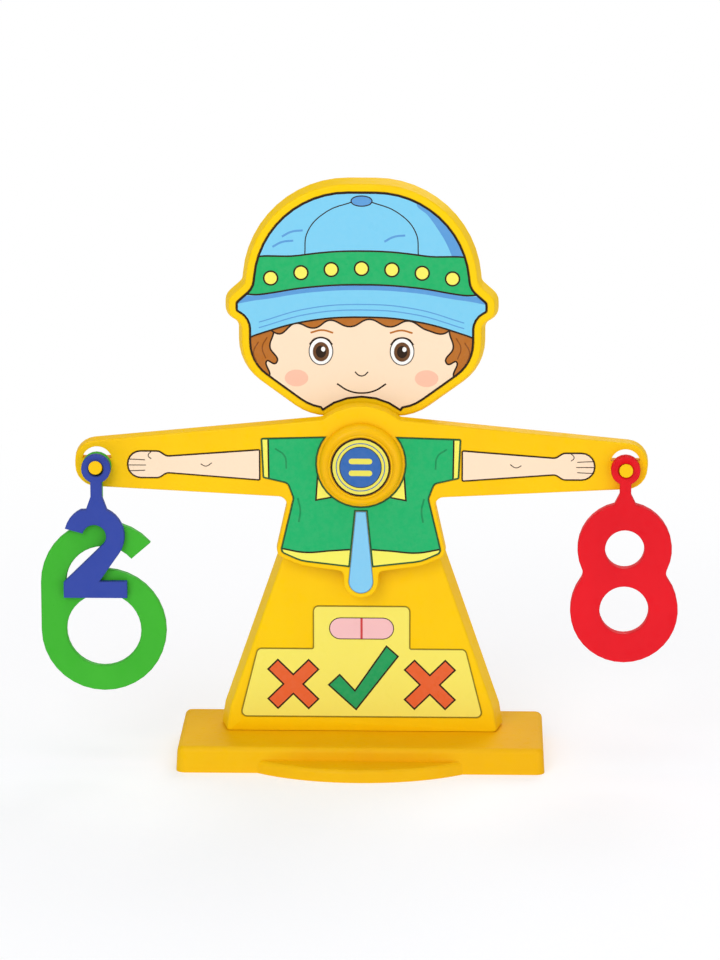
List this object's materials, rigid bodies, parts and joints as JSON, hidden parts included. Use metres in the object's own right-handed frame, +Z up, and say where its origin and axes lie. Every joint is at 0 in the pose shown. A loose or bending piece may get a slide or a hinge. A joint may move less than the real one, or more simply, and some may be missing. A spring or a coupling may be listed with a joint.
{
  "type": "number balance",
  "caption": "Toy see-saw balance: a child-shaped stand on a plinth carries a pivoting beam, and flat digits weighted by their values hang on its hooks.",
  "frame": {"origin": "middle of the plinth's underside, on the plane that it stands on", "axes": "+Z up, the printed front faces -Y, and the beam lies along X"},
  "size_m": [0.3391, 0.1124, 0.315],
  "materials": {
    "base_plinth": "moulded, satin gloss",
    "stand_figure": "moulded, satin gloss",
    "beam": "moulded, satin gloss",
    "pivot_cap": "moulded, satin gloss",
    "badge_label": "printed film",
    "pivot_screw": "zinc plated",
    "shirt_label": "printed film",
    "pointer_label": "printed film",
    "arm_label": "printed film",
    "dial_label": "printed film",
    "head_label": "printed film",
    "digit_six": "moulded, glossy",
    "digit_two": "moulded, glossy",
    "digit_eight": "moulded, glossy"
  },
  "bodies": {
    "stand": {"base_plinth": "base_plinth", "stand_figure": "stand_figure", "pivot_cap": "pivot_cap", "badge_label": "badge_label", "pivot_screw": "pivot_screw", "dial_label": "dial_label", "head_label": "head_label"},
    "beam": {"beam": "beam", "shirt_label": "shirt_label", "pointer_label": "pointer_label", "arm_label_right": "arm_label", "arm_label_left": "arm_label"},
    "six": {"digit_six": "digit_six"},
    "two": {"digit_two": "digit_two"},
    "eight": {"digit_eight": "digit_eight"}
  },
  "joints": [
    {"name": "beam_pivot", "type": "hinge", "parent": "stand", "child": "beam", "pos_m": [0, -0.016, 0.1655], "axis": [0, 1, 0], "range_deg": [-13.9, 13.9]},
    {"name": "six_swing", "type": "hinge", "parent": "beam", "child": "six", "pos_m": [-0.14, -0.0226, 0.1645], "axis": [0, 1, 0], "range_deg": [-60, 60]},
    {"name": "two_swing", "type": "hinge", "parent": "beam", "child": "two", "pos_m": [-0.14, -0.0278, 0.1645], "axis": [0, 1, 0], "range_deg": [-60, 60]},
    {"name": "eight_swing", "type": "hinge", "parent": "beam", "child": "eight", "pos_m": [0.14, -0.0236, 0.1645], "axis": [0, 1, 0], "range_deg": [-60, 60]}
  ]
}
